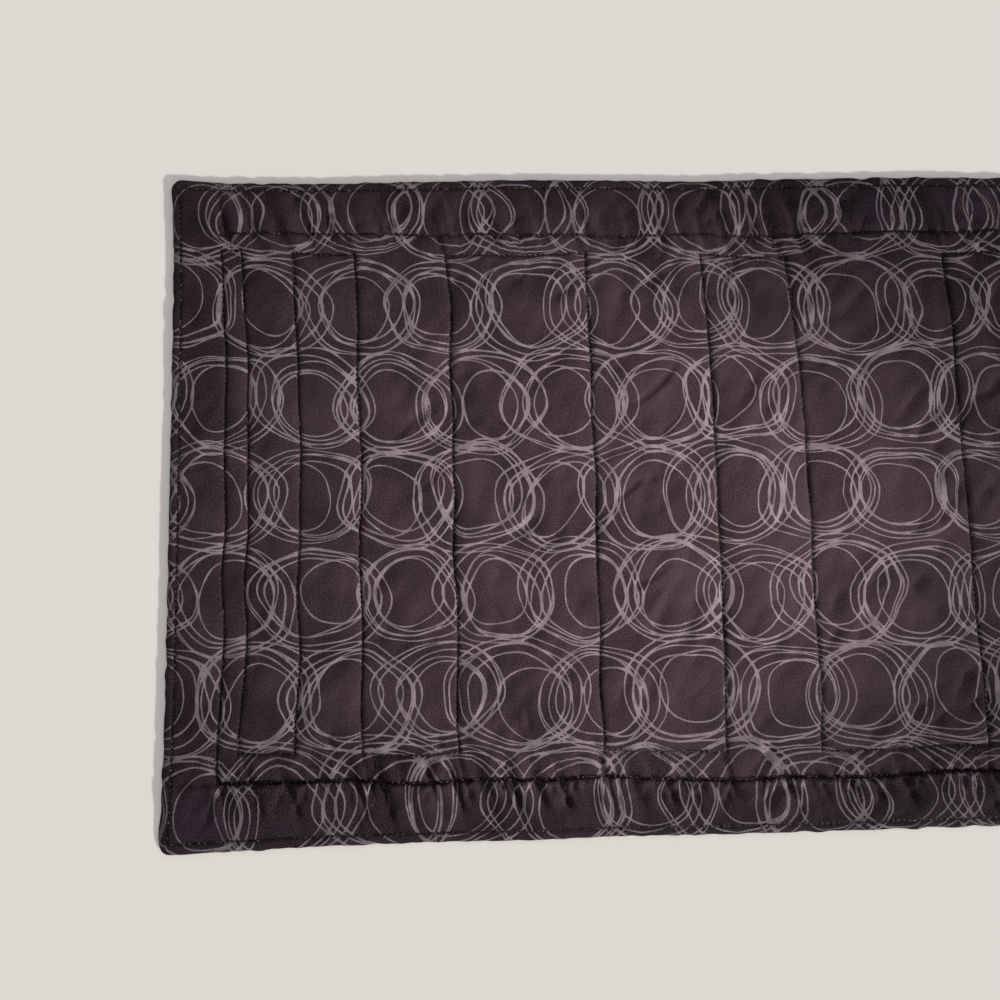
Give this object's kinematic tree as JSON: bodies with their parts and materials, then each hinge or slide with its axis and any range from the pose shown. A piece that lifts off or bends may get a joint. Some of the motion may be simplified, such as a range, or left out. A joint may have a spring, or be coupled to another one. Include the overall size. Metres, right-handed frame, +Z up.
{
  "type": "quilted table runner",
  "caption": "Flat quilted table runner of dark printed cloth with a turned, topstitched edge, border lines and a quilting line that crosses it to and fro.",
  "frame": {"origin": "middle of the flat underside, on the surface that the runner lies on", "axes": "+X along the runner's length, +Y across its width, +Z up out of the printed face"},
  "size_m": [1.0714, 0.386, 0.0044],
  "materials": {
    "runner_cloth": "printed quilting cotton, matt"
  },
  "bodies": {
    "root": {"runner": "runner_cloth"}
  },
  "joints": []
}
